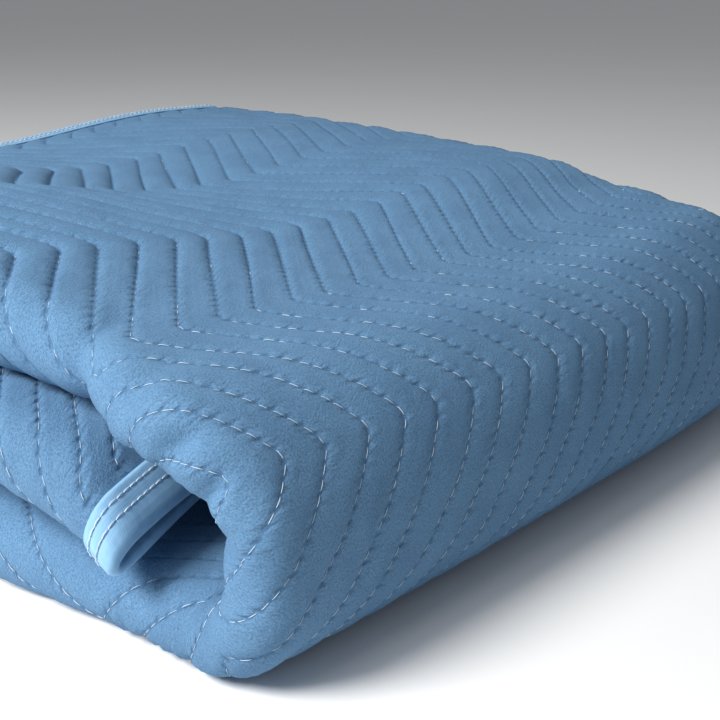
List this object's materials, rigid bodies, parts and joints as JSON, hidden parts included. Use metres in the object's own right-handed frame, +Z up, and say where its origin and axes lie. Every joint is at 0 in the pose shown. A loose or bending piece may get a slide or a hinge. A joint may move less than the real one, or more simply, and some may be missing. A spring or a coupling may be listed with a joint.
{
  "type": "moving blanket",
  "caption": "Quilted moving blanket with taped edges, folded in half across and then in thirds into a thick pad, for wrapping furniture.",
  "frame": {"origin": "on the floor, under the middle of the folded blanket", "axes": "X along the front fold, Y from the front fold to the back, Z up"},
  "size_m": [0.5129, 0.6, 0.1852],
  "materials": {
    "felt": "brushed, matte",
    "tape": "woven, matte"
  },
  "bodies": {
    "root": {"quilted_panel": "felt", "end_tape_back": "tape", "end_tape_tucked": "tape", "side_tape_inner": "tape", "side_tape_second": "tape"}
  },
  "joints": []
}
